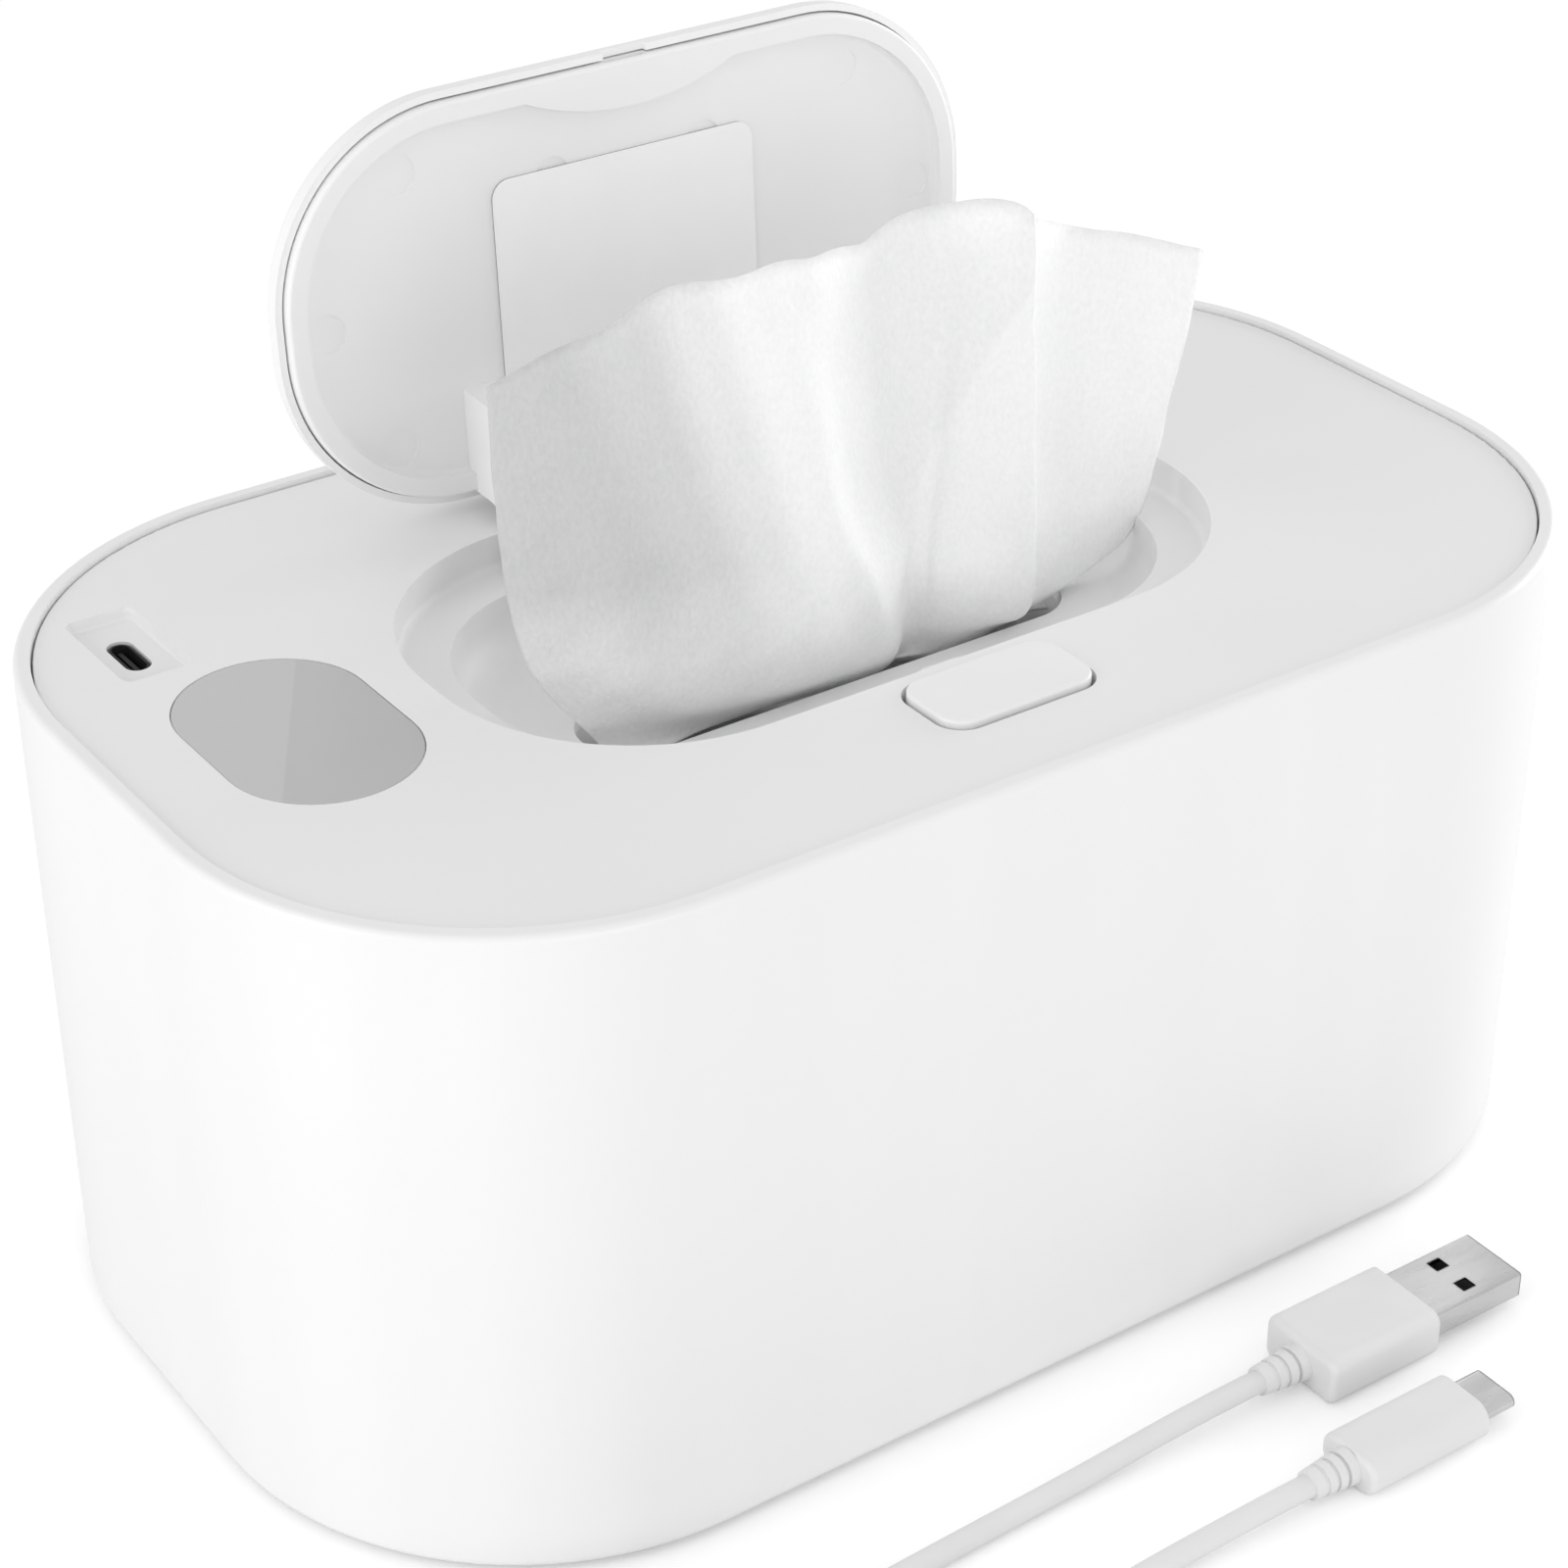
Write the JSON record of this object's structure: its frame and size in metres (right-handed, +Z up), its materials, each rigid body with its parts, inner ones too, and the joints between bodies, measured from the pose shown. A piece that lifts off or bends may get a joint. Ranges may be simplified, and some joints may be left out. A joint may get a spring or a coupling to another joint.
{
  "type": "baby wipe warmer",
  "caption": "Oval heated wipe tub with a lift-off top cover, a sprung hinged lid over the dispensing slot, a push-button latch, a display, a charging socket and a coiled cable.",
  "frame": {"origin": "on the surface the warmer stands on, under the middle of the body", "axes": "+X along the body's long side, towards the end away from the display; -Y the front, where the latch button is; +Z up"},
  "size_m": [0.23, 0.2072, 0.1714],
  "materials": {
    "shell_white": "satin",
    "cover_grey": "satin",
    "inner_white": "matte",
    "insulation_foam": "matte",
    "silicone_seal": "matte",
    "foot_rubber": "matte",
    "plate_aluminium": "satin",
    "film_amber": "satin",
    "screw_steel": "satin",
    "sensor_black": "satin",
    "fuse_body": "matte",
    "circuit_board": "satin",
    "led_frame": "matte",
    "lens_grey": "gloss",
    "connector_metal": "satin",
    "lead_insulation": "satin",
    "wipe_cloth": "matte",
    "cord_white": "satin"
  },
  "bodies": {
    "base": {"outer_shell": "shell_white", "base_cover": "inner_white", "rubber_feet": "foot_rubber", "base_screws": "screw_steel", "inner_tub": "inner_white", "insulation_sleeve": "insulation_foam", "insulation_pad": "insulation_foam", "cover_seal": "silicone_seal", "cord_coil": "cord_white", "cord_lead_a": "cord_white", "cord_lead_c": "cord_white", "plug_a_body": "cord_white", "plug_a_relief": "cord_white", "plug_a_shell": "connector_metal", "plug_a_tongue": "sensor_black", "plug_c_body": "cord_white", "plug_c_relief": "cord_white", "plug_c_shell": "connector_metal"},
    "cover": {"top_cover": "cover_grey", "heater_carrier": "inner_white", "latch_bracket": "inner_white", "heating_plate": "plate_aluminium", "heating_film": "film_amber", "plate_screws": "screw_steel", "cover_screws": "screw_steel", "board_screws": "screw_steel", "bracket_screws": "screw_steel", "hinge_pin": "screw_steel", "hinge_spring": "screw_steel", "button_spring": "screw_steel", "thermistor": "sensor_black", "control_chip": "sensor_black", "usb_c_tongue": "sensor_black", "thermal_fuse": "fuse_body", "main_board": "circuit_board", "led_display": "led_frame", "display_lens": "lens_grey", "usb_c_socket": "connector_metal", "heater_leads": "lead_insulation", "wipe": "wipe_cloth"},
    "lid": {"lid_outer": "shell_white", "lid_inner": "cover_grey", "hinge_spring_leg": "screw_steel"},
    "button": {"latch_button": "shell_white"},
    "latch": {"latch_slide": "inner_white"}
  },
  "joints": [
    {"name": "cover_lift", "type": "slide", "parent": "base", "child": "cover", "axis": [0, 0, 1], "range_m": [0, 0.1]},
    {"name": "lid_hinge", "type": "hinge", "parent": "cover", "child": "lid", "pos_m": [0, 0.0405, 0.0985], "axis": [1, 0, 0], "range_deg": [0, 93], "stiffness_Nm_per_rad": 0.009, "springref_deg": -20.05, "deforming": ["wipe"]},
    {"name": "button_press", "type": "slide", "parent": "cover", "child": "button", "axis": [0, 0, -1], "range_m": [0, 0.0016], "stiffness_N_per_m": 900, "springref_m": -0.0006, "deforming": ["button_spring"]},
    {"name": "latch_retract", "type": "slide", "parent": "cover", "child": "latch", "axis": [0, -1, 0], "range_m": [0, 0.0016]}
  ],
  "couplings": [
    {"joint": "latch_retract", "follows": "button_press", "ratio": 1}
  ]
}
